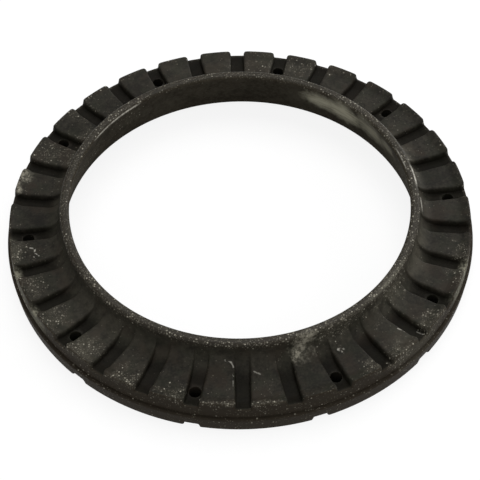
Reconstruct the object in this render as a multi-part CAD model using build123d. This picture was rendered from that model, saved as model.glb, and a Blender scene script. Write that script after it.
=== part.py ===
"""Upper seat ring for a suspension coil spring, moulded in one piece of rubber.

The ring stands on its underside with its axis on Z and the origin at the middle of the
underside. A thin collar leans in towards the axis. Outside the collar the end coil of the
spring lies in a shallow channel, which radial grooves divide into blocks. Each groove's floor
climbs the foot of the collar and runs out there. Wider spaced grooves cross the underside.
"""
from build123d import *
from math import radians, tan
import os

# Driving dimensions in millimetres. Heights are from the underside.
rim_radius = 80.0  # widest line, at the top of the lower rim
rim_height = 6.4  # ledge on top of the lower rim
rim_draft = 0.6  # how far the lower rim draws in towards the underside
foot_chamfer = 0.7  # bevel of the underside's outer edge
ledge_width = 1.0
crease_depth = 0.3  # crease that runs round the foot of the outer wall
crease_height = 0.7
wall_draft = 0.3  # how far the outer wall leans in above the ledge

seat_height = 12.1  # floor of the channel that the end coil lies in
seat_rise = 1.3  # how far the channel's outer side rises to the outer wall
rise_width = 3.5
edge_chamfer = 0.4
channel_width = 13.6  # from the foot of the rise to where the collar's wall would meet the floor
cove_radius = 5.3  # hollow between the channel and the collar

collar_height = 20.3
collar_lean = 0.7  # how far the outside of the collar leans in as it rises
lip_width = 3.5
lip_rounding = 1.0
flare_width = 3.9  # how far the inner wall draws in from the cone to the lip
lead_height = 3.8  # cone that opens the inner wall to the underside
lead_width = 4.0

groove_count = 30
groove_width = 4.6
groove_depth = 2.7
groove_draft = 3.0  # degrees that each groove wall leans out as it rises
groove_cove = 7.5  # rounding of the groove's floor as it climbs the collar
groove_bite = 1.0  # how far the foot of the climb reaches under the collar's wall
groove_run_out = 0.055  # how far the climb leans out for each millimetre that it rises

foot_groove_count = 12
foot_groove_width = 4.6
foot_groove_depth = 2.1
foot_groove_turn = 78.0  # azimuth in degrees of the first groove in the underside

pin_hole_inset = 2.7  # from the foot of the rise to the circle that the mould pin holes lie on
pin_hole_diameter = 3.8
pin_hole_depth = 5.4
pin_hole_spacing = 3  # one groove in three has a hole

# Sizes that follow from those above. Radii are from the axis.
wall_foot_radius = rim_radius - ledge_width
edge_radius = wall_foot_radius - wall_draft
seat_radius = edge_radius - rise_width
cove_corner = seat_radius - channel_width
collar_radius = cove_corner - collar_lean
throat_radius = collar_radius - lip_width
flare_radius = throat_radius + flare_width
groove_end = cove_corner - groove_bite
pin_hole_circle = seat_radius - pin_hole_inset
edge_height = seat_height + seat_rise
seat_slope = seat_rise / rise_width
wall_lean = wall_draft / (edge_height - rim_height - crease_height)
groove_pitch = 360 / groove_count
foot_groove_pitch = 360 / foot_groove_count
groove_floor = seat_height - groove_depth
seam_turn = foot_groove_turn + 2 * foot_groove_pitch
clear = 1.0  # how far a cutting tool starts outside what it cuts


def face_from(corners):
    """Face in the XZ plane from corners given as radius, height and rounding."""
    points = [(radius, height) for radius, height, _ in corners]
    roundings = [rounding for _, _, rounding in corners]
    return Plane.XZ * make_face(FilletPolyline(*points, radius=roundings, close=True))


def ring_body():
    """Whole ring before its grooves and holes are cut."""
    corners = [
        (flare_radius + lead_width, 0, 0),
        (rim_radius - rim_draft - foot_chamfer, 0, 0),
        (rim_radius - rim_draft, foot_chamfer, 0),
        (rim_radius, rim_height, 0),
        (wall_foot_radius - crease_depth, rim_height, 0),
        (wall_foot_radius, rim_height + crease_height, 0),
        (edge_radius + edge_chamfer * wall_lean, edge_height - edge_chamfer, 0),
        (edge_radius - edge_chamfer, edge_height - edge_chamfer * seat_slope, 0),
        (seat_radius, seat_height, 0),
        (cove_corner, seat_height, cove_radius),
        (collar_radius, collar_height, lip_rounding),
        (throat_radius, collar_height, lip_rounding),
        (flare_radius, lead_height, 0),
    ]
    return revolve(Rot(0, 0, seam_turn) * face_from(corners), Axis.Z)


def groove_prism(width, floor, low, high, draft=0.0):
    """Prism along +X between two heights, as wide as the groove at the groove's floor."""
    slope = tan(radians(draft))
    foot = width / 2 + (low - floor) * slope
    mouth = width / 2 + (high - floor) * slope
    outline = Polyline((-foot, low), (foot, low), (mouth, high), (-mouth, high), close=True)
    return extrude(Plane.YZ * make_face(outline), rim_radius + clear)


def coil_grooves():
    """Tools for the radial grooves between the blocks that carry the end coil."""
    top = seat_height + cove_radius
    lean = groove_run_out * (top - groove_floor)
    outside = rim_radius + clear
    region = face_from(
        [
            (outside, groove_floor + seat_slope * (outside - seat_radius), 0),
            (seat_radius, groove_floor, 0),
            (groove_end, groove_floor, groove_cove),
            (groove_end + lean, top, 0),
            (outside, top, 0),
        ]
    )
    above_floor = revolve(Rot(0, 0, -groove_pitch / 2) * region, Axis.Z, groove_pitch)
    prism = groove_prism(groove_width, groove_floor, groove_floor - clear, top + clear, groove_draft)
    tool = above_floor & prism
    return [Rot(0, 0, 90 - groove_pitch * number) * tool for number in range(groove_count)]


def foot_grooves():
    """Tools for the radial grooves across the underside."""
    tool = groove_prism(foot_groove_width, foot_groove_depth, -clear, foot_groove_depth)
    turns = [foot_groove_turn + foot_groove_pitch * number for number in range(foot_groove_count)]
    return [Rot(0, 0, turn) * tool for turn in turns]


def pin_holes():
    """Tools for the blind holes that mould pins leave in the floors of some grooves."""
    length = pin_hole_depth + groove_depth
    drill = Pos(pin_hole_circle, 0, seat_height - length / 2) * Cylinder(pin_hole_diameter / 2, length)
    grooves = range(1, groove_count, pin_hole_spacing)
    return [Rot(0, 0, 90 - groove_pitch * number) * drill for number in grooves]


ring = ring_body() - coil_grooves() - foot_grooves() - pin_holes()

os.makedirs("parts", exist_ok=True)
export_step(ring, "parts/spring_seat_ring.step")
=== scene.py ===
"""Looks of an upper seat ring for a suspension coil spring, moulded in black rubber."""

from math import acos, asin, atan2, cos, pi, radians, sin, sqrt, tan
from types import SimpleNamespace

import bpy
from mathutils import Matrix, Vector


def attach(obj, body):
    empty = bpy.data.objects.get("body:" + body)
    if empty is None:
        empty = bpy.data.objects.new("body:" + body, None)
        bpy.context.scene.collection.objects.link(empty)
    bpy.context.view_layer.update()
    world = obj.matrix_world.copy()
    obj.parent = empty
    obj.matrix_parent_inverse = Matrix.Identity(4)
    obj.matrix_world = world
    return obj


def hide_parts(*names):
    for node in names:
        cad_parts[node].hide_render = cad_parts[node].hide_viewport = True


# Sizes in millimetres and angles in degrees, the same as in the ring's CAD source.
RIM_RADIUS = 80.0
RIM_HEIGHT = 6.4
RIM_DRAFT = 0.6
WALL_FOOT_RADIUS = 79.0
WALL_FOOT = 7.1
CREASE_DEPTH = 0.3
SEAT_HEIGHT = 12.1
SEAT_RADIUS = 75.2
SEAT_RISE = 1.3
EDGE_RADIUS = 78.7
WALL_LEAN = (WALL_FOOT_RADIUS - EDGE_RADIUS) / (SEAT_HEIGHT + SEAT_RISE - WALL_FOOT)
COVE_CORNER = 61.6
COVE_RADIUS = 5.3
COLLAR_HEIGHT = 20.3
COLLAR_RADIUS = 60.9
THROAT_RADIUS = 57.4
FLARE_RADIUS = 61.3
LEAD_HEIGHT = 3.8
LEAD_WIDTH = 4.0
LEAD_SLOPE = LEAD_WIDTH / LEAD_HEIGHT
CONE_RADIUS = FLARE_RADIUS + LEAD_WIDTH

FIRST_GROOVE = 90.0
GROOVE_PITCH = 12.0
GROOVE_WIDTH = 4.6
GROOVE_DEPTH = 2.7
GROOVE_DRAFT = 3.0
GROOVE_FLOOR = SEAT_HEIGHT - GROOVE_DEPTH
GROOVE_HALF_MOUTH = GROOVE_WIDTH / 2 + GROOVE_DEPTH * tan(radians(GROOVE_DRAFT))
GROOVE_COVE = 7.5
GROOVE_END = 60.6
GROOVE_RUN_OUT = 0.055

FOOT_GROOVE_PITCH = 30.0
FOOT_GROOVE_TURN = 78.0
FOOT_GROOVE_DEPTH = 2.1

PIN_CIRCLE = 72.5
PIN_RADIUS = 1.9
PIN_DEPTH = 5.4
PIN_TURN = 78.0
PIN_COUNT = 10

# Roundings of the section, and fine ones that only this mesh has.
LEAD_ROUNDING = 0.9
FOOT_ROUNDING = 0.9
RIM_ROUNDING = 0.6
CREASE_ROUNDING = 0.12
WALL_FOOT_ROUNDING = 0.35
WALL_TOP_ROUNDING = 0.6
RISE_ROUNDING = 4.0
LIP_ROUNDING = 1.2
MOUTH_ROUNDING = 0.5
CONE_EDGE_ROUNDING = 0.4
EDGE_ROUNDING = 0.7
CORNER_ROUNDING = 1.3
FLOOR_ROUNDING = 0.5
PIN_MOUTH = 0.3

# Places of the mesh's lines. Those beside a groove are squeezed to a small share of their
# spacing at CLOSE_RADIUS and have all of it CLOSE_WAY further out.
BLOCK_LINE = 2.4
BESIDE_MOUTH = (0.0, 0.05, 0.2, 0.43, EDGE_ROUNDING, CORNER_ROUNDING)
CLOSE_RADIUS = 62.0
CLOSE_WAY = 12.0
CLOSE_SHARE = 0.05

# In metres.
MM = 0.001
SAME_PLACE = 0.00001


# Section of the ring. Points are (radius, height) and run with the solid on their left.
def rounded(corners, closed):
    """Points along corners given as radius, height, rounding, arc steps, steps to the next."""
    count = len(corners)
    cut = []
    for i, (radius, height, rounding, steps, _) in enumerate(corners):
        here = Vector((radius, height))
        if rounding == 0:
            cut.append([here])
            continue
        back = (Vector(corners[i - 1][:2]) - here).normalized()
        on = (Vector(corners[(i + 1) % count][:2]) - here).normalized()
        half = acos(max(-1, min(1, back.dot(on)))) / 2
        middle = here + (back + on).normalized() * (rounding / sin(half))
        first = here + back * (rounding / tan(half)) - middle
        last = here + on * (rounding / tan(half)) - middle
        start = atan2(first.y, first.x)
        turn = (atan2(last.y, last.x) - start + pi) % (2 * pi) - pi
        turns = [start + turn * n / steps for n in range(steps + 1)]
        cut.append([middle + rounding * Vector((cos(a), sin(a))) for a in turns])
    points = []
    for i, corner in enumerate(corners):
        points += cut[i]
        if closed or i < count - 1:
            begin, end = cut[i][-1], cut[(i + 1) % count][0]
            points += [begin.lerp(end, n / corner[4]) for n in range(1, corner[4])]
    return points


def ring_section():
    """Closed section through a block and a foot, from the opening outwards and over the top."""
    return rounded(
        [
            (FLARE_RADIUS, LEAD_HEIGHT, LEAD_ROUNDING, 3, 4),
            (CONE_RADIUS, 0, FOOT_ROUNDING, 4, 8),
            (RIM_RADIUS - RIM_DRAFT, 0, FOOT_ROUNDING, 4, 4),
            (RIM_RADIUS, RIM_HEIGHT, RIM_ROUNDING, 4, 1),
            (WALL_FOOT_RADIUS - CREASE_DEPTH, RIM_HEIGHT, CREASE_ROUNDING, 2, 1),
            (WALL_FOOT_RADIUS, WALL_FOOT, WALL_FOOT_ROUNDING, 3, 5),
            (EDGE_RADIUS, SEAT_HEIGHT + SEAT_RISE, WALL_TOP_ROUNDING, 5, 2),
            (SEAT_RADIUS, SEAT_HEIGHT, RISE_ROUNDING, 4, 6),
            (COVE_CORNER, SEAT_HEIGHT, COVE_RADIUS, 12, 2),
            (COLLAR_RADIUS, COLLAR_HEIGHT, LIP_ROUNDING, 6, 1),
            (THROAT_RADIUS, COLLAR_HEIGHT, LIP_ROUNDING, 6, 8),
        ],
        True,
    )


def wall_radius(height):
    """Radius of the outer wall between its foot and the top of the blocks."""
    return WALL_FOOT_RADIUS - WALL_LEAN * (height - WALL_FOOT)


def groove_path():
    """Section along the middle of a groove's floor, from the outer wall to above its end."""
    foot = 8.0
    top = SEAT_HEIGHT + 2 * COVE_RADIUS
    mouth = GROOVE_FLOOR + SEAT_RISE
    return rounded(
        [
            (wall_radius(foot), foot, 0, 1, 8),
            (wall_radius(mouth), mouth, MOUTH_ROUNDING, 6, 4),
            (SEAT_RADIUS, GROOVE_FLOOR, RISE_ROUNDING, 6, 12),
            (GROOVE_END, GROOVE_FLOOR, GROOVE_COVE, 24, 12),
            (GROOVE_END + GROOVE_RUN_OUT * (top - GROOVE_FLOOR), top, 0, 1, 1),
        ],
        False,
    )


def foot_groove_path():
    """Section along the middle of an underside groove's roof, from the cone to the rim."""
    draft = RIM_DRAFT / RIM_HEIGHT
    wall = RIM_RADIUS - RIM_DRAFT
    depth = FOOT_GROOVE_DEPTH
    inner_end, outer_end = 3.2, 4.5
    return rounded(
        [
            (CONE_RADIUS - inner_end * LEAD_SLOPE, inner_end, 0, 1, 8),
            (CONE_RADIUS - depth * LEAD_SLOPE, depth, CONE_EDGE_ROUNDING, 4, 12),
            (wall + depth * draft, depth, MOUTH_ROUNDING, 6, 8),
            (wall + outer_end * draft, outer_end, 0, 1, 1),
        ],
        False,
    )


def distances(path):
    """Distance along a path to each of its points."""
    total = [0.0]
    for before, after in zip(path, path[1:]):
        total.append(total[-1] + (after - before).length)
    return total


def outward(before, after):
    """Unit normal that points out of the solid on the left of a step."""
    way = (after - before).normalized()
    return Vector((way.y, -way.x))


def place_at(path, total, distance):
    """Point of a path at a distance along it, and the normal there."""
    i = 0
    while i < len(path) - 2 and total[i + 1] < distance:
        i += 1
    share = (distance - total[i]) / (total[i + 1] - total[i])
    return path[i].lerp(path[i + 1], share), outward(path[i], path[i + 1])


def crossing(path, first, section, begin, end):
    """Distance along a path to where it crosses a stretch of the section, and that place in it."""
    total = distances(path)
    for i in range(first, len(path) - 1):
        run = path[i + 1] - path[i]
        for k in range(begin, end):
            side = section[k + 1] - section[k]
            gap = section[k] - path[i]
            turn = run.cross(side)
            if abs(turn) < 1e-9:
                continue
            share = gap.cross(side) / turn
            place = gap.cross(run) / turn
            if 0 <= share <= 1 and 0 <= place <= 1:
                return total[i] + share * run.length, k + place
    raise ValueError("the path doesn't cross the section")


def matched(section, begin, end, path, path_begin, path_end):
    """Place on a path for each section point between two places, by its share of the way."""
    total = distances(path)
    lengths = distances(section)
    low, high = int(begin), int(end)
    start = lengths[low] + (begin - low) * (section[low + 1] - section[low]).length
    stop = lengths[high] + (end - high) * (section[high + 1] - section[high]).length
    places = {}
    for k in range(low, high + 1):
        share = (lengths[k] - start) / (stop - start)
        if 0 < share < 1:
            places[k] = place_at(path, total, path_begin + share * (path_end - path_begin))
    return places


def nearest(section, radius, height, begin, end):
    """Index of the section point nearest to a place."""
    place = Vector((radius, height))
    return min(range(begin, end), key=lambda k: (section[k] - place).length)


def groove_places(section):
    """Place on a coil groove's floor for each section point above it."""
    widest = max(range(len(section)), key=lambda k: section[k].x)
    highest = max(range(len(section)), key=lambda k: section[k].y)
    path = groove_path()
    below_mouth = GROOVE_FLOOR + SEAT_RISE - 0.5
    mouth = nearest(section, wall_radius(below_mouth), below_mouth, widest, highest)
    cove = nearest(section, COVE_CORNER + 3, SEAT_HEIGHT, widest, highest)
    path_end, end = crossing(path, len(path) // 2, section, cove, highest)
    corner = nearest(section, EDGE_RADIUS - 0.6, SEAT_HEIGHT + SEAT_RISE, widest, highest)
    path_begin = (section[mouth] - path[0]).length
    path_turn = path_begin + 1.2  # just past the mouth's rounding
    places = matched(section, mouth, corner, path, path_begin, path_turn)
    places[corner] = place_at(path, distances(path), path_turn)
    places.update(matched(section, corner, end, path, path_turn, path_end))
    return places


def foot_groove_places(section):
    """Place on the roof of an underside groove for each section point below it."""
    widest = max(range(len(section)), key=lambda k: section[k].x)
    path = foot_groove_path()
    above_roof = FOOT_GROOVE_DEPTH + 0.4
    inner = CONE_RADIUS - above_roof * LEAD_SLOPE
    begin = nearest(section, inner, above_roof, 0, widest)
    end = nearest(section, RIM_RADIUS, FOOT_GROOVE_DEPTH + 0.8, widest // 2, widest)
    path_begin = (section[begin] - path[0]).length
    path_end = distances(path)[-1] - (path[-1] - section[end]).length
    return matched(section, begin, end, path, path_begin, path_end)


# Sixth of the ring, which holds five coil grooves and two grooves of the underside.
def over_groove(azimuth):
    """Whether a coil groove lies at an azimuth."""
    return (azimuth - FIRST_GROOVE) % GROOVE_PITCH == 0


def over_foot_groove(azimuth):
    """Whether a groove of the underside lies at an azimuth."""
    return (azimuth - FOOT_GROOVE_TURN) % FOOT_GROOVE_PITCH == 0


def groove_lines():
    """Lines along half of a groove: distance from its middle, kind, and what the kind needs."""
    half = GROOVE_WIDTH / 2
    lines = []
    for n in range(4):
        turn = radians(30 * n)
        lines.append((half - FLOOR_ROUNDING * (1 - sin(turn)), "floor", 1 - cos(turn)))
    for beside in BESIDE_MOUTH:
        lines.append((GROOVE_HALF_MOUTH + beside, "edge", beside))
    return lines


def sector_lines():
    """Lines of a sixth in order: azimuth of what they follow, then each as in groove_lines."""
    half = groove_lines()
    plain = [(-BLOCK_LINE, "block", 0), (0, "block", 0), (BLOCK_LINE, "block", 0)]
    both = [(-distance, kind, amount) for distance, kind, amount in reversed(half)]
    both += [(0, "floor", 0)] + half
    half_pitch = GROOVE_PITCH / 2
    lines = [(FIRST_GROOVE - half_pitch, *line) for line in plain[1:]]
    for number in range(9):
        azimuth = FIRST_GROOVE + number * half_pitch
        grooved = over_groove(azimuth) or over_foot_groove(azimuth)
        lines += [(azimuth, *line) for line in (both if grooved else plain)]
    return lines + [(FIRST_GROOVE + 9 * half_pitch, *line) for line in plain[:2]]


def edge_drop(beside, rounding):
    """How far a rounded edge lies under the sharp one, beside a groove's wall."""
    left = max(rounding - beside, 0)
    return rounding - sqrt(rounding**2 - left**2)


def block_edge(point, normal, beside, depth):
    """Place of a block's rounded edge, whose outer corner is rounded more than the rest."""
    down = edge_drop(beside, min(EDGE_ROUNDING, 0.45 * depth))
    outer = (point.x - SEAT_RADIUS) / (EDGE_RADIUS - SEAT_RADIUS)
    if outer <= 0:
        return point - normal * down
    climb = min(1, max(0, (point.y - GROOVE_FLOOR - SEAT_RISE) / 1.2))
    inwards = edge_drop(beside, CORNER_ROUNDING * climb) * min(outer, 1)
    return point - Vector((inwards, down * max(normal.y, 0)))


def line_point(k, azimuth, kind, amount, section, normals, grooves, foot_grooves):
    """Section point that a line passes through."""
    places = {}
    if over_groove(azimuth):
        places.update(grooves)
    if over_foot_groove(azimuth):
        places.update(foot_grooves)
    if kind == "block" or k not in places:
        return section[k]
    floor, normal = places[k]
    depth = (section[k] - floor).length
    if kind == "floor":
        return floor + normal * (min(FLOOR_ROUNDING, 0.3 * depth) * amount)
    if k in grooves:
        return block_edge(section[k], normals[k], amount, depth)
    return section[k] - normals[k] * edge_drop(amount, min(EDGE_ROUNDING, 0.45 * depth))


def line_turn(distance, radius):
    """Turn from a groove's middle to a line beside it. Near the opening the lines close up."""
    close = GROOVE_HALF_MOUTH + EDGE_ROUNDING
    share = min(1, max(CLOSE_SHARE, (radius - CLOSE_RADIUS) / CLOSE_WAY))
    beside = min(abs(distance), close) + max(abs(distance) - close, 0) * share
    return asin(beside / max(radius, CLOSE_RADIUS)) * (1 if distance > 0 else -1)


def sixth_of_ring():
    """Mesh of a sixth of the ring, open where the next sixth joins it."""
    section = ring_section()
    count = len(section)
    normals = [outward(section[k - 1], section[(k + 1) % count]) for k in range(count)]
    grooves = groove_places(section)
    foot_grooves = foot_groove_places(section)
    vertices = []
    groove_depth_share = []
    lines = sector_lines()
    for azimuth, distance, kind, amount in lines:
        for k in range(count):
            point = line_point(k, azimuth, kind, amount, section, normals, grooves, foot_grooves)
            turn = radians(azimuth) + line_turn(distance, point.x)
            place = (point.x * cos(turn), point.x * sin(turn), point.y)
            vertices.append([MM * value for value in place])
            # Share of the groove's depth, which the material uses to paint shade on the groove
            # floors.
            in_groove = kind == "floor" and k in grooves and over_groove(azimuth)
            depth = (section[k] - grooves[k][0]).length if in_groove else 0.0
            groove_depth_share.append(min(1.0, depth / GROOVE_DEPTH))
    faces = []
    for j in range(len(lines) - 1):
        for k in range(count):
            n = (k + 1) % count
            faces.append((j * count + k, (j + 1) * count + k, (j + 1) * count + n, j * count + n))
    mesh = bpy.data.meshes.new("seat ring sixth")
    mesh.from_pydata(vertices, [], faces)
    mesh.attributes.new("groove_depth_share", "FLOAT", "POINT").data.foreach_set("value", groove_depth_share)
    mesh.update()
    return mesh


# Node trees.
def node(tree, kind, inputs=None, **settings):
    """New node with its settings, and with its inputs set or linked by name or number."""
    made = tree.nodes.new(kind)
    for name, value in settings.items():
        setattr(made, name, value)
    for name, value in (inputs or {}).items():
        if isinstance(value, bpy.types.NodeSocket):
            tree.links.new(value, made.inputs[name])
        else:
            made.inputs[name].default_value = value
    return made


def maths(tree, operation, *values):
    """Output of a Math node."""
    return node(tree, "ShaderNodeMath", dict(enumerate(values)), operation=operation).outputs[0]


def turned_copies(tree, shape, copies, first, pitch):
    """Copies of a shape turned round the Z axis."""
    index = node(tree, "GeometryNodeInputIndex").outputs[0]
    turn = maths(tree, "MULTIPLY_ADD", index, pitch, first)
    turns = node(tree, "ShaderNodeCombineXYZ", {"Z": turn})
    rotation = node(tree, "FunctionNodeEulerToRotation", {0: turns.outputs[0]})
    points = node(tree, "GeometryNodeMeshLine", {"Count": copies, "Offset": (0, 0, 0)})
    placed = node(
        tree,
        "GeometryNodeInstanceOnPoints",
        {"Points": points.outputs[0], "Instance": shape, "Rotation": rotation.outputs[0]},
    )
    return node(tree, "GeometryNodeRealizeInstances", {0: placed.outputs[0]}).outputs[0]


def sunk(tree, body, tool, circle, height, copies, first):
    """A body with a tool sunk into it at places round the Z axis."""
    place = node(tree, "ShaderNodeCombineXYZ", {"X": circle, "Z": height})
    moved = {"Geometry": tool, "Translation": place.outputs[0]}
    moved = node(tree, "GeometryNodeTransform", moved).outputs[0]
    pitch = maths(tree, "DIVIDE", 2 * pi, copies)
    tools = turned_copies(tree, moved, copies, first, pitch)
    given = {"Mesh 1": body, "Mesh 2": tools}
    kind = {"operation": "DIFFERENCE", "solver": "MANIFOLD"}
    return node(tree, "GeometryNodeMeshBoolean", given, **kind).outputs[0]


def ring_tree():
    """Geometry Nodes that join the sixths into a ring and sink the pin holes into its grooves."""
    tree = bpy.data.node_groups.new("seat ring", "GeometryNodeTree")
    face = tree.interface
    face.new_socket("Geometry", in_out="INPUT", socket_type="NodeSocketGeometry")
    face.new_socket("Sixths", in_out="INPUT", socket_type="NodeSocketInt")
    face.new_socket("Pin holes", in_out="INPUT", socket_type="NodeSocketInt")
    names = ("circle radius", "hole radius", "hole bevel", "hole floor", "hole level", "hole top")
    for name in names:
        face.new_socket("Pin " + name, in_out="INPUT", socket_type="NodeSocketFloat")
    face.new_socket("First pin hole turn", in_out="INPUT", socket_type="NodeSocketFloat")
    face.new_socket("Material", in_out="INPUT", socket_type="NodeSocketMaterial")
    face.new_socket("Geometry", in_out="OUTPUT", socket_type="NodeSocketGeometry")
    given = node(tree, "NodeGroupInput").outputs
    pitch = maths(tree, "DIVIDE", 2 * pi, given["Sixths"])
    ring = turned_copies(tree, given["Geometry"], given["Sixths"], 0.0, pitch)
    closed = node(tree, "GeometryNodeMergeByDistance", {"Geometry": ring, "Distance": SAME_PLACE})
    floor, level, top = given["Pin hole floor"], given["Pin hole level"], given["Pin hole top"]
    radius, bevel = given["Pin hole radius"], given["Pin hole bevel"]
    first, count = given["First pin hole turn"], given["Pin holes"]
    circle = given["Pin circle radius"]
    shaft = {"Vertices": 32, "Radius": radius, "Depth": maths(tree, "SUBTRACT", top, floor)}
    middle = maths(tree, "DIVIDE", maths(tree, "ADD", top, floor), 2.0)
    shaft = node(tree, "GeometryNodeMeshCylinder", shaft).outputs["Mesh"]
    drilled = sunk(tree, closed.outputs[0], shaft, circle, middle, count, first)
    cone = {
        "Vertices": 32,
        "Radius Bottom": radius,
        "Radius Top": maths(tree, "ADD", radius, bevel),
        "Depth": maths(tree, "MULTIPLY", bevel, 2.0),
    }
    foot = maths(tree, "SUBTRACT", level, bevel)
    cone = node(tree, "GeometryNodeMeshCone", cone).outputs["Mesh"]
    drilled = sunk(tree, drilled, cone, circle, foot, count, first)
    clean = node(tree, "GeometryNodeMergeByDistance", {"Geometry": drilled, "Distance": SAME_PLACE})
    whole = node(tree, "GeometryNodeRealizeInstances", {0: clean.outputs[0]})
    finish = {"Geometry": whole.outputs[0], "Material": given["Material"]}
    finished = node(tree, "GeometryNodeSetMaterial", finish)
    node(tree, "NodeGroupOutput", {"Geometry": finished.outputs[0]})
    return tree


def set_inputs(modifier, values):
    """Sets a Geometry Nodes modifier's inputs by the identifiers of their sockets."""
    for item in modifier.node_group.interface.items_tree:
        if item.in_out == "INPUT" and item.name in values:
            modifier[item.identifier] = values[item.name]


def plain_mesh(piece):
    """Replaces an object's mesh by its evaluated result and removes its modifiers."""
    graph = bpy.context.evaluated_depsgraph_get()
    mesh = bpy.data.meshes.new_from_object(piece.evaluated_get(graph), depsgraph=graph)
    piece.modifiers.clear()
    piece.data = mesh


def seat_ring(material):
    """The whole ring as one closed mesh."""
    ring = bpy.data.objects.new("seat_ring", sixth_of_ring())
    bpy.context.collection.objects.link(ring)
    repeat = ring.modifiers.new("ring", "NODES")
    repeat.node_group = ring_tree()
    set_inputs(
        repeat,
        {
            "Sixths": 6,
            "Pin holes": PIN_COUNT,
            "Pin circle radius": PIN_CIRCLE * MM,
            "Pin hole radius": PIN_RADIUS * MM,
            "Pin hole bevel": PIN_MOUTH * MM,
            "Pin hole floor": (GROOVE_FLOOR - PIN_DEPTH) * MM,
            "Pin hole level": GROOVE_FLOOR * MM,
            "Pin hole top": (GROOVE_FLOOR + 0.8) * MM,
            "First pin hole turn": radians(PIN_TURN),
            "Material": material,
        },
    )
    plain_mesh(ring)
    ring.data.name = "seat ring"
    ring.data.shade_smooth()
    ring.data.set_sharp_from_angle(angle=radians(50))
    ring.modifiers.new("even shading", "WEIGHTED_NORMAL").keep_sharp = True
    plain_mesh(ring)
    return ring


# Rubber. Places and sizes in its patterns are in millimetres, and its colours are linear.
DARK_RUBBER = (0.0100, 0.0086, 0.0060, 1)
PALE_RUBBER = (0.0310, 0.0275, 0.0200, 1)
GREENISH_RUBBER = (0.0170, 0.0195, 0.0110, 1)
BROWNISH_RUBBER = (0.0260, 0.0190, 0.0130, 1)
DARK_OPENING = (0.0310, 0.0260, 0.0185, 1)
PALE_OPENING = (0.0680, 0.0595, 0.0440, 1)
LIP_COLOUR = (0.0320, 0.0262, 0.0178, 1)
OUTER_WALL_COLOUR = (0.0400, 0.0320, 0.0220, 1)
# Grey of the film, which in places is painted light.
FILM_AND_LIGHT_COLOUR = (0.100, 0.092, 0.070, 1)
# Painted shade on the floors of the coil grooves.
PAINTED_GROOVE_SHADE = (0.0070, 0.0060, 0.0042, 1)
PALE_SMEAR_COLOUR = (0.520, 0.495, 0.370, 1)
CHALK_COLOUR = (0.300, 0.280, 0.220, 1)
# Specks of dust, which along the lip at the right front are painted glints.
FINE_SPECK_COLOUR = (0.220, 0.200, 0.155, 1)
COARSE_SPECK_COLOUR = (0.450, 0.420, 0.340, 1)
# Colour of painted reflections on the outer wall and of a painted highlight on the lip.
PAINTED_REFLECTION_COLOUR = (0.260, 0.250, 0.190, 1)
# Colour of scratch marks and threads, and of painted glints and reflections.
BRIGHT_COLOUR = (0.650, 0.620, 0.540, 1)
# Colour deep in the pin holes, lighter than the groove shade: painted light in their dark.
PIN_HOLE_COLOUR = (0.0240, 0.0215, 0.0160, 1)
FINE_SPECK = 0.52
COARSE_SPECK = 0.85
LIP_CREST = (60.4, 19.9, 0)

# On the opening's wall, radius plus height times the lean is this sum all the way up. A place
# whose sum is larger lies behind the wall.
OPENING_LEAN = (FLARE_RADIUS - THROAT_RADIUS) / (COLLAR_HEIGHT - LEAD_HEIGHT)
OPENING_SUM = THROAT_RADIUS + OPENING_LEAN * COLLAR_HEIGHT


def product(tree, *values):
    """Product of several values."""
    total = values[0]
    for value in values[1:]:
        total = maths(tree, "MULTIPLY", total, value)
    return total


def added(tree, start, *terms):
    """A start value plus each of several values times its share."""
    total = start
    for value, share in terms:
        total = maths(tree, "MULTIPLY_ADD", value, share, total)
    return total


def smooth_step(tree, value, begin, end):
    """0 before begin and 1 after end, with a smooth way between."""
    inputs = {"Value": value, "From Min": begin, "From Max": end}
    step = node(tree, "ShaderNodeMapRange", inputs, interpolation_type="SMOOTHSTEP")
    return step.outputs["Result"]


def blend(tree, share, first, second):
    """Colour between two colours."""
    mix = node(tree, "ShaderNodeMix", {0: share, 6: first, 7: second}, data_type="RGBA")
    return mix.outputs[2]


def layered(tree, colour, layers):
    """A colour with others laid over it in turn, each given as share and colour."""
    for share, over in layers:
        colour = blend(tree, share, colour, over)
    return colour


def vector_maths(tree, operation, output, *values):
    """Output of a Vector Math node."""
    inputs = dict(enumerate(values))
    return node(tree, "ShaderNodeVectorMath", inputs, operation=operation).outputs[output]


def noise(tree, place, size, detail, roughness=0.5):
    """Noise over the ring, whose largest spots have about the given size."""
    inputs = {"Vector": place, "Scale": 1 / size, "Detail": detail, "Roughness": roughness}
    return node(tree, "ShaderNodeTexNoise", inputs).outputs["Fac"]


def patch(tree, place, centre, half, ragged):
    """Soft patch with a ragged edge: 1 at its centre and 0 outside its half sizes."""
    away = vector_maths(tree, "SUBTRACT", 0, place, centre)
    scaled = vector_maths(tree, "MULTIPLY", 0, away, [1 / size for size in half])
    length = vector_maths(tree, "LENGTH", "Value", scaled)
    return smooth_step(tree, maths(tree, "ADD", length, ragged), 1.0, 0.2)


def patches(tree, place, spots, ragged):
    """The strongest of several patches, each given as centre, half size and strength."""
    total = 0.0
    for centre, half, strength in spots:
        one = product(tree, patch(tree, place, centre, half, ragged), strength)
        total = maths(tree, "MAXIMUM", total, one)
    return total


def stroke(tree, place, first, last, half):
    """Thin mark between two places, with a half width."""
    along = Vector(last) - Vector(first)
    away = vector_maths(tree, "SUBTRACT", 0, place, first)
    share = vector_maths(tree, "DOT_PRODUCT", "Value", away, along / along.length_squared)
    share = node(tree, "ShaderNodeClamp", {"Value": share}).outputs[0]
    on = node(tree, "ShaderNodeVectorMath", {0: along, "Scale": share}, operation="SCALE")
    beside = vector_maths(tree, "DISTANCE", "Value", away, on.outputs[0])
    return smooth_step(tree, beside, half, 0.2 * half)


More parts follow.
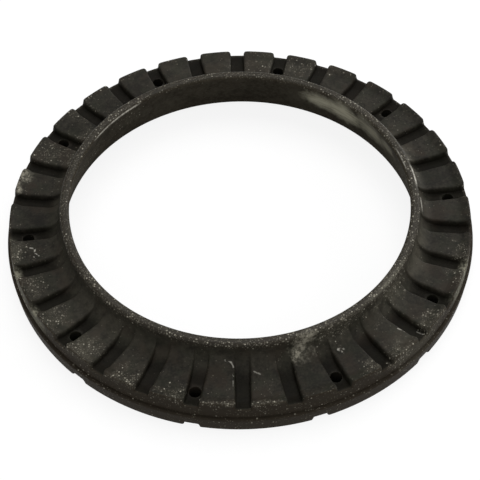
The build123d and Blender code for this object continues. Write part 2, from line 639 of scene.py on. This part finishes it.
def strokes(tree, place, marks):
    """The strongest of several thin marks, each given as two ends, half width and strength."""
    total = 0.0
    for first, last, half, strength in marks:
        one = product(tree, stroke(tree, place, first, last, half), strength)
        total = maths(tree, "MAXIMUM", total, one)
    return total


def arc(tree, at, circle, level, azimuth, half, width, strength):
    """Mark along a part of a circle round the axis, which fades out at its ends."""
    beside = vector_maths(tree, "DISTANCE", "Value", at.profile, (circle, level, 0))
    middle = (cos(radians(azimuth)), sin(radians(azimuth)), 0)
    ahead = vector_maths(tree, "DOT_PRODUCT", "Value", at.place, middle)
    cosine = maths(tree, "DIVIDE", ahead, at.radius)
    along = smooth_step(tree, cosine, cos(radians(half)), cos(radians(0.3 * half)))
    thin = smooth_step(tree, beside, width, 0.3 * width)
    return product(tree, thin, along, strength)


def arcs(tree, at, lines):
    """The strongest of several marks along circles."""
    total = 0.0
    for line in lines:
        total = maths(tree, "MAXIMUM", total, arc(tree, at, *line))
    return total


def specks(tree, place, size, amount):
    """Specks of several strengths, of which amount says how many there are, from 0 to 1."""
    cells = node(tree, "ShaderNodeTexVoronoi", {"Vector": place, "Scale": 1 / size}).outputs
    chance = node(tree, "ShaderNodeSeparateColor", {0: cells["Color"]}).outputs
    there = smooth_step(tree, maths(tree, "SUBTRACT", chance[0], amount), 0.0, -0.10)
    near = smooth_step(tree, cells["Distance"], 0.45, 0.12)
    strength = added(tree, 0.25, (chance[1], 0.75))
    return product(tree, there, near, strength)


# Places where the photographed ring has dust, chalk or pale smears, and where light is painted:
# centre, half size and strength.
DUST_AND_LIGHT_SPOTS = [
    ((-76.0, -15.5, 12.5), (5.0, 7.0, 3.0), 0.85),
    ((-69.0, -30.0, 12.5), (8.0, 6.0, 3.0), 0.55),
    ((-60.5, -42.0, 13.0), (8.0, 8.0, 3.0), 0.75),
    ((-51.0, -56.0, 13.0), (9.0, 8.0, 3.0), 0.90),
    ((-36.5, -67.0, 13.0), (9.0, 7.0, 3.0), 1.0),
    ((-20.0, -73.0, 13.0), (10.0, 6.0, 3.0), 0.65),
    ((0.0, -77.7, 13.3), (22.0, 1.8, 1.8), 1.0),
    ((41.0, -64.5, 12.5), (5.5, 5.0, 3.0), 0.8),
    ((51.0, -60.5, 10.8), (8.0, 7.0, 5.0), 1.0),
    ((62.5, -47.5, 11.5), (8.0, 7.0, 5.0), 0.9),
    ((73.0, -25.0, 13.0), (5.0, 14.0, 4.0), 0.7),
    # Dense specks that paint glints along the lip's highlight at the right front.
    ((32.0, -54.0, 18.0), (17.0, 13.0, 6.0), 0.8),
    ((50.0, -38.0, 17.5), (13.0, 15.0, 6.0), 1.0),
    ((47.0, 36.0, 20.5), (16.0, 18.0, 2.5), 0.55),
    ((-67.0, 30.0, 13.0), (9.0, 9.0, 3.0), 0.45),
    ((-55.0, 48.0, 13.0), (9.0, 9.0, 3.0), 0.35),
    ((20.0, 70.0, 13.0), (22.0, 9.0, 3.0), 0.35),
    # Painted sheen on the opening's wall at the left back and the right.
    ((-52.0, 26.0, 11.0), (12.0, 22.0, 7.0), 0.75),
    ((-40.0, 43.0, 14.0), (14.0, 12.0, 7.0), 0.70),
    ((57.0, 12.0, 11.0), (7.0, 20.0, 8.0), 0.75),
]
# Places under a thin grey film, partly dust and partly painted light where more light falls.
FILM_AND_LIGHT_SPOTS = [
    ((-52.0, -48.0, 13.0), (28.0, 32.0, 6.0), 0.32),
    # Painted light on the block tops at the back.
    ((10.0, 70.0, 13.0), (75.0, 30.0, 6.0), 0.20),
    ((-28.0, 49.0, 12.0), (17.0, 12.0, 9.0), 0.40),
    ((20.0, 54.0, 12.0), (9.0, 8.0, 9.0), 0.40),
    ((56.0, -56.0, 9.5), (15.0, 15.0, 6.0), 0.85),
    # Painted light on the cove at the right and the right front.
    ((58.5, -20.0, 15.5), (8.0, 25.0, 6.0), 0.75),
    ((49.0, -40.0, 16.0), (14.0, 14.0, 6.0), 0.60),
    # Painted sheen on the opening's wall at the right.
    ((55.0, 17.0, 11.0), (10.0, 27.0, 9.0), 0.90),
    # Painted reflections on the outer wall at the left.
    ((-76.5, -20.0, 9.5), (4.5, 18.0, 5.0), 0.95),
    ((-68.0, -40.0, 9.5), (7.0, 8.0, 5.0), 0.80),
]
CHALK_SPOTS = [
    ((20.0, -58.3, 18.0), (6.0, 5.0, 4.0), 1.0),
    ((18.0, -60.5, 14.8), (5.0, 4.0, 4.0), 1.0),
    ((22.5, -59.5, 14.4), (3.5, 2.6, 2.6), 0.7),
    ((21.5, -57.2, 19.5), (3.6, 4.0, 2.4), 0.8),
    ((-74.3, 18.6, 12.8), (3.6, 4.2, 2.0), 1.0),
    ((-76.6, 13.0, 13.2), (2.2, 4.5, 1.6), 0.8),
]
# Places on the opening's wall that are pale in streaks, with more shine.
PALE_SMEAR_SPOTS = [
    ((30.4, 50.4, 14.0), (11.0, 8.0, 6.0), 0.95),
    ((37.6, 45.2, 14.0), (13.0, 11.0, 7.0), 1.0),
    ((46.5, 35.5, 14.5), (11.0, 12.0, 6.5), 0.52),
    ((51.5, 27.0, 15.0), (5.0, 9.0, 4.0), 0.4),
]
# Scratches and threads, and two painted reflections on the left outer wall: their two ends,
# half width and strength.
MARKS = [
    ((-5.5, -62.4, 14.2), (-3.6, -62.9, 13.7), 0.55, 0.9),
    ((-3.6, -62.9, 13.7), (-2.7, -64.3, 12.7), 0.50, 0.8),
    ((-3.0, -66.0, 12.1), (-3.0, -76.0, 12.6), 0.40, 0.35),
    ((3.6, -65.4, 12.3), (5.5, -66.3, 12.1), 0.40, 0.35),
    ((30.5, -57.6, 12.3), (31.3, -56.5, 12.6), 0.50, 0.6),
    ((31.3, -56.5, 12.6), (32.4, -57.3, 12.3), 0.50, 0.5),
    ((31.8, -58.3, 12.2), (30.5, -57.6, 12.3), 0.45, 0.4),
    ((50.2, -49.6, 12.1), (53.6, -51.2, 12.1), 0.35, 0.5),
    ((56.6, -49.2, 9.5), (59.0, -51.3, 10.3), 0.36, 0.35),
    ((-70.8, -13.6, 12.1), (-69.2, -13.9, 12.1), 0.45, 0.5),
    ((-69.2, -13.9, 12.1), (-69.1, -15.4, 12.1), 0.45, 0.7),
    ((-68.8, -16.2, 12.1), (-67.8, -17.0, 12.1), 0.50, 0.6),
    ((-69.3, -17.4, 12.1), (-68.6, -18.0, 12.1), 0.40, 0.4),
    # Painted reflections along the left outer wall.
    ((-77.6, -14.0, 11.0), (-76.0, -21.8, 8.0), 0.60, 0.6),
    ((-75.8, -22.8, 8.0), (-70.5, -36.3, 8.0), 0.70, 0.7),
    ((27.2, 74.0, 13.0), (28.8, 71.0, 12.2), 0.45, 0.6),
]
# Marks along circles: radius, height, azimuth of the middle and half length in degrees,
# half width and strength. The first, bright and thin, are painted glints on the lip and the
# cove; the others are dull and wide.
PAINTED_GLINT_ARCS = [
    (57.65, 19.5, 135.0, 9.0, 0.48, 1.0),
    (57.65, 19.5, 144.0, 8.0, 0.45, 0.7),
    (58.5, 20.3, 16.5, 6.0, 0.36, 0.4),
    (60.5, 19.95, 8.5, 5.0, 0.55, 0.9),
    (62.3, 14.7, 2.5, 5.5, 0.80, 0.75),
]
PAINTED_REFLECTION_ARCS = [
    # Painted reflections on the outer wall at the left and the right.
    (79.0, 9.7, -170.0, 5.0, 3.2, 0.70),
    (79.0, 9.7, -160.0, 8.0, 3.2, 1.00),
    (79.0, 9.7, -148.0, 5.0, 3.2, 0.80),
    (79.0, 9.9, -21.0, 9.0, 3.4, 1.00),
    # Painted highlight along the lip at the right front.
    (60.2, 20.3, -38.0, 14.0, 0.9, 0.30),
]


def measures(tree):
    """Place on the ring, distance from its axis, height, and these two as the point profile."""
    metres = node(tree, "ShaderNodeTexCoord").outputs["Object"]
    scaled = {0: metres, "Scale": 1 / MM}
    place = node(tree, "ShaderNodeVectorMath", scaled, operation="SCALE").outputs[0]
    height = node(tree, "ShaderNodeSeparateXYZ", {0: place}).outputs["Z"]
    level = vector_maths(tree, "MULTIPLY", 0, place, (1, 1, 0))
    radius = vector_maths(tree, "LENGTH", "Value", level)
    profile = node(tree, "ShaderNodeCombineXYZ", {"X": radius, "Y": height}).outputs[0]
    return SimpleNamespace(place=place, radius=radius, height=height, profile=profile)


def zones(tree, at):
    """Masks of the ring's zones. Deep in a coil groove the depth mask, which paints shade, is 1 and
    bare is low.
    """
    lean = added(tree, at.radius, (at.height, OPENING_LEAN))
    behind = maths(tree, "SUBTRACT", lean, OPENING_SUM)
    opening = smooth_step(tree, behind, 0.9, 0.2)
    outside = smooth_step(tree, at.radius, EDGE_RADIUS - 0.6, EDGE_RADIUS - 0.1)
    lip = smooth_step(tree, at.height, COLLAR_HEIGHT - 2.8, COLLAR_HEIGHT - 0.8)
    near_collar = smooth_step(tree, at.radius, 66.5, 62.5)
    collar = product(tree, near_collar, smooth_step(tree, behind, 1.2, 2.2))
    collar = maths(tree, "SUBTRACT", collar, lip)
    collar = node(tree, "ShaderNodeClamp", {0: collar}).outputs[0]
    past = smooth_step(tree, at.radius, PIN_CIRCLE - 2.5, PIN_CIRCLE - 2.1)
    before = smooth_step(tree, at.radius, PIN_CIRCLE + 2.5, PIN_CIRCLE + 2.1)
    deep = smooth_step(tree, at.height, GROOVE_FLOOR - 0.5, GROOVE_FLOOR - 2.4)
    pin_hole = product(tree, past, before, deep)
    groove_depth_share = node(tree, "ShaderNodeAttribute", attribute_name="groove_depth_share").outputs["Fac"]
    groove_depth_share = product(tree, groove_depth_share, smooth_step(tree, at.radius, 63.0, 68.0))
    return SimpleNamespace(
        opening=opening,
        outside=outside,
        lip=lip,
        collar=collar,
        pin_hole=pin_hole,
        groove_depth_share=groove_depth_share,
        bare=added(tree, 1.0, (groove_depth_share, -0.65)),
    )


def clouds(tree, place):
    """Noises that several of the rubber's patterns share."""
    edges = noise(tree, place, 3.0, 4.0, 0.6)
    gaps = noise(tree, place, 0.9, 2.0)
    return SimpleNamespace(
        wide=noise(tree, place, 15.0, 3.0),
        fine=noise(tree, place, 2.6, 3.0, 0.6),
        grain=noise(tree, place, 0.8, 2.0),
        ragged=added(tree, -0.9, (edges, 1.8)),
        broken=smooth_step(tree, gaps, 0.42, 0.55),
    )


def overlay_masks(tree, at, zone, cloud):
    """Masks of what lies on the rubber, of what has marked it, of pale smears, and of painted
    highlights, reflections and light.
    """
    film_and_light = patches(tree, at.place, FILM_AND_LIGHT_SPOTS, product(tree, cloud.ragged, 0.3))
    flat = vector_maths(tree, "MULTIPLY", 0, at.place, (0.25, 0.25, 2.5))
    streaks = smooth_step(tree, noise(tree, flat, 2.0, 4.0, 0.7), 0.05, 0.62)
    pale_smear = patches(tree, at.place, PALE_SMEAR_SPOTS, product(tree, cloud.ragged, 0.4))
    # Painted glints along the lip and the cove, broken by noise.
    lines = product(tree, arcs(tree, at, PAINTED_GLINT_ARCS), added(tree, 0.50, (cloud.broken, 0.50)))
    scratches_and_reflections = product(tree, strokes(tree, at.place, MARKS), cloud.broken)
    # Painted reflections and a painted highlight, broken by noise.
    strips = product(tree, arcs(tree, at, PAINTED_REFLECTION_ARCS), added(tree, 0.25, (cloud.broken, 0.60)))
    return SimpleNamespace(
        dust_and_light=patches(tree, at.place, DUST_AND_LIGHT_SPOTS, cloud.ragged),
        chalk=patches(tree, at.place, CHALK_SPOTS, cloud.ragged),
        film_and_light=added(tree, film_and_light, (zone.collar, 0.34)),
        pale_smear=product(tree, zone.opening, streaks, pale_smear),
        strips=strips,
        bright=maths(tree, "MAXIMUM", scratches_and_reflections, lines),
    )


def speck_amount(tree, at, zone, cloud, overlays):
    """How many specks there are, from 0 to 1: dust, and painted glints along the lip at the right
    front.
    """
    from_crest = vector_maths(tree, "DISTANCE", "Value", at.profile, LIP_CREST)
    crest = smooth_step(tree, from_crest, 1.1, 0.2)
    outer_edge = smooth_step(tree, at.radius, SEAT_RADIUS + 0.8, EDGE_RADIUS - 0.4)
    patchy = smooth_step(tree, cloud.wide, 0.40, 0.66)
    amount = added(
        tree,
        0.03,
        (patchy, 0.12),
        (overlays.dust_and_light, 1.25),
        (zone.lip, 0.50),
        (crest, 0.30),
        (outer_edge, 0.25),
        (overlays.chalk, 0.25),
    )
    return product(tree, amount, zone.bare, added(tree, 1.0, (zone.opening, -0.60)))


def rubber_colour(tree, at, zone, cloud, overlays, fine, coarse):
    """Colour of the mottled rubber under its grey layer, pale smears, specks and marks, with
    painted shade, highlights and reflections.
    """
    mottle = added(tree, 0.0, (cloud.grain, 0.8), (cloud.fine, 1.0), (cloud.wide, 1.0))
    mottle = smooth_step(tree, mottle, 1.05, 1.75)
    opening = blend(tree, mottle, DARK_OPENING, PALE_OPENING)
    greenish = smooth_step(tree, noise(tree, at.place, 6.0, 3.0), 0.46, 0.60)
    brownish = smooth_step(tree, noise(tree, at.place, 8.0, 2.0), 0.52, 0.66)
    brownish = maths(tree, "MAXIMUM", zone.outside, brownish)
    film_and_light = added(tree, 0.0, (zone.lip, 0.06), (overlays.dust_and_light, 0.40), (overlays.film_and_light, zone.bare))
    streaky = smooth_step(tree, noise(tree, at.place, 1.3, 3.0, 0.7), 0.38, 0.62)
    layers = [
        (product(tree, greenish, 0.28), GREENISH_RUBBER),
        (product(tree, brownish, added(tree, 0.10, (cloud.fine, 0.9))), BROWNISH_RUBBER),
        (product(tree, zone.opening, 0.80), opening),
        (product(tree, zone.lip, 0.50), LIP_COLOUR),
        (product(tree, zone.outside, 0.50), OUTER_WALL_COLOUR),
        # Grey film of dust, partly painted light and sheen.
        (product(tree, film_and_light, cloud.fine), FILM_AND_LIGHT_COLOUR),
        # Painted shade that darkens the groove floors by their depth.
        (product(tree, zone.groove_depth_share, 0.68), PAINTED_GROOVE_SHADE),
        (product(tree, overlays.pale_smear, 0.95), PALE_SMEAR_COLOUR),
        (product(tree, overlays.chalk, added(tree, 0.15, (streaky, 0.85))), CHALK_COLOUR),
        (product(tree, fine, 0.85), FINE_SPECK_COLOUR),
        (product(tree, coarse, 0.95), COARSE_SPECK_COLOUR),
        # Painted reflections on the outer wall and a painted highlight on the lip.
        (overlays.strips, PAINTED_REFLECTION_COLOUR),
        # Scratch marks and threads, with painted glints and painted reflections, in one bright
        # colour.
        (product(tree, overlays.bright, 0.85), BRIGHT_COLOUR),
        # Painted light that lifts the pin holes' occluded depth.
        (zone.pin_hole, PIN_HOLE_COLOUR),
    ]
    return layered(tree, blend(tree, mottle, DARK_RUBBER, PALE_RUBBER), layers)


def rubber():
    """Black moulded rubber with dust in it, chalky and pale places, a fine grain, and painted light
    and shade.
    """
    material = bpy.data.materials.new("rubber")
    material.use_nodes = True
    tree = material.node_tree
    shader = tree.nodes["Principled BSDF"]
    at = measures(tree)
    zone = zones(tree, at)
    cloud = clouds(tree, at.place)
    overlays = overlay_masks(tree, at, zone, cloud)
    amount = speck_amount(tree, at, zone, cloud, overlays)
    fine = specks(tree, at.place, FINE_SPECK, added(tree, amount, (zone.lip, 0.16)))
    coarse = specks(tree, at.place, COARSE_SPECK, product(tree, amount, 0.45))
    colour = rubber_colour(tree, at, zone, cloud, overlays, fine, coarse)
    rough = added(tree, 0.58, (zone.lip, -0.16), (zone.opening, 0.15), (cloud.fine, 0.10))
    shine = added(
        tree,
        0.13,
        (zone.lip, 0.01),
        (zone.opening, -0.11),
        (zone.groove_depth_share, -0.06),
        (zone.outside, -0.07),
        (overlays.pale_smear, 0.30),
    )
    relief = added(tree, coarse, (cloud.grain, 0.8))
    bump = {"Height": relief, "Strength": 0.40, "Distance": 0.12 * MM}
    tree.links.new(colour, shader.inputs["Base Color"])
    tree.links.new(rough, shader.inputs["Roughness"])
    tree.links.new(shine, shader.inputs["Specular IOR Level"])
    tree.links.new(node(tree, "ShaderNodeBump", bump).outputs[0], shader.inputs["Normal"])
    return material


# Camera, light and floor, in metres. The camera's values come from a fit to the photograph.
PICTURE_PIXELS = 480
FOCAL_PIXELS = 1546.9
SENSOR_WIDTH = 36
CAMERA_DISTANCE = 0.5306
CAMERA_ELEVATION = radians(49.98)
CAMERA_ROLL = radians(-1.01)
AIM_HEIGHT = 0.01065
# Where the aimed point lies in the picture, to the right of its middle and above it.
AIM_PIXELS = (-0.07, 23.84)

# Soft square lamps that point at the ring: place, width and power.
LAMPS = {
    "top light": ((0.10, 0.40, 1.00), 0.8, 6),
    "front light": ((-0.20, -0.90, 0.55), 0.8, 2),
    "right light": ((1.00, -0.12, 0.45), 0.5, 2.2),
    "back light": ((0.70, 0.90, 0.35), 0.5, 4),
}
WORLD_STRENGTH = 0.35
FLOOR_HALF = 3.0
FLOOR_DROP = 0.0002
FLOOR_COLOUR = (0.18, 0.18, 0.18, 1)
FLOOR_GLOW = 0.86


def camera():
    """Camera at the photograph's place: 50 degrees above the floor, half a metre away."""
    data = bpy.data.cameras.new("camera")
    data.lens = FOCAL_PIXELS * SENSOR_WIDTH / PICTURE_PIXELS
    data.sensor_width = SENSOR_WIDTH
    made = bpy.data.objects.new("camera", data)
    bpy.context.collection.objects.link(made)
    low, high = cos(CAMERA_ELEVATION), sin(CAMERA_ELEVATION)
    place = Vector((0, -CAMERA_DISTANCE * low, CAMERA_DISTANCE * high + AIM_HEIGHT))
    sideways, upwards = [pixels / FOCAL_PIXELS for pixels in AIM_PIXELS]
    across = cos(CAMERA_ROLL) * sideways - sin(CAMERA_ROLL) * upwards
    climb = sin(CAMERA_ROLL) * sideways + cos(CAMERA_ROLL) * upwards
    ahead = Vector((0, low, -high))
    top = Vector((0, high, low))
    view = (ahead - Vector((across, 0, 0)) - climb * top).normalized()
    right = view.cross(Vector((0, 0, 1))).normalized()
    rise = right.cross(view)
    rolled_right = cos(CAMERA_ROLL) * right + sin(CAMERA_ROLL) * rise
    rolled_rise = cos(CAMERA_ROLL) * rise - sin(CAMERA_ROLL) * right
    turn = Matrix((rolled_right, rolled_rise, -view)).transposed()
    made.matrix_world = Matrix.Translation(place) @ turn.to_4x4()
    bpy.context.scene.camera = made


def floor_material():
    """Pale floor, which the camera sees as nearly white and which lights the ring less."""
    material = bpy.data.materials.new("floor")
    material.use_nodes = True
    tree = material.node_tree
    tree.nodes.clear()
    rays = node(tree, "ShaderNodeLightPath").outputs
    seen = maths(tree, "MAXIMUM", rays["Is Camera Ray"], rays["Is Glossy Ray"])
    seen = maths(tree, "MAXIMUM", seen, rays["Is Transmission Ray"])
    matt = node(tree, "ShaderNodeBsdfDiffuse", {"Color": FLOOR_COLOUR})
    glow = node(tree, "ShaderNodeEmission", {"Strength": product(tree, seen, FLOOR_GLOW)})
    both = node(tree, "ShaderNodeAddShader", {0: matt.outputs[0], 1: glow.outputs[0]})
    node(tree, "ShaderNodeOutputMaterial", {"Surface": both.outputs[0]})
    return material


def floor():
    """Pale floor under the ring."""
    mesh = bpy.data.meshes.new("floor")
    half = FLOOR_HALF
    corners = [(-half, -half, 0), (half, -half, 0), (half, half, 0), (-half, half, 0)]
    mesh.from_pydata(corners, [], [(0, 1, 2, 3)])
    mesh.materials.append(floor_material())
    made = bpy.data.objects.new("floor", mesh)
    bpy.context.collection.objects.link(made)
    made.location.z = -FLOOR_DROP
    return made


def lamp(name, place, width, power):
    """Soft square lamp that points at the origin."""
    data = bpy.data.lights.new(name, "AREA")
    data.size = width
    data.energy = power
    made = bpy.data.objects.new(name, data)
    bpy.context.collection.objects.link(made)
    made.location = place
    made.rotation_euler = (-Vector(place)).to_track_quat("-Z", "Y").to_euler()


def studio():
    """World, lamps and floor."""
    world = bpy.data.worlds.new("studio")
    bpy.context.scene.world = world
    world.use_nodes = True
    back = world.node_tree.nodes["Background"]
    back.inputs["Color"].default_value = (1, 1, 1, 1)
    back.inputs["Strength"].default_value = WORLD_STRENGTH
    for name, (place, width, power) in LAMPS.items():
        lamp(name, place, width, power)
    floor()


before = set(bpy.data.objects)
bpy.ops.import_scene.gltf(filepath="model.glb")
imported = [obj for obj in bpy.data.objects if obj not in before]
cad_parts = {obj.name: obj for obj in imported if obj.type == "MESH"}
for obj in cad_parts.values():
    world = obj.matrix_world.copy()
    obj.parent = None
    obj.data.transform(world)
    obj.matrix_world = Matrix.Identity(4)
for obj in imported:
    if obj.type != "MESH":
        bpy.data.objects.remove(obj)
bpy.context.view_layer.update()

ring = seat_ring(rubber())
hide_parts("spring_seat_ring")
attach(ring, "root")

camera()
studio()
bpy.context.scene.view_settings.view_transform = "Standard"
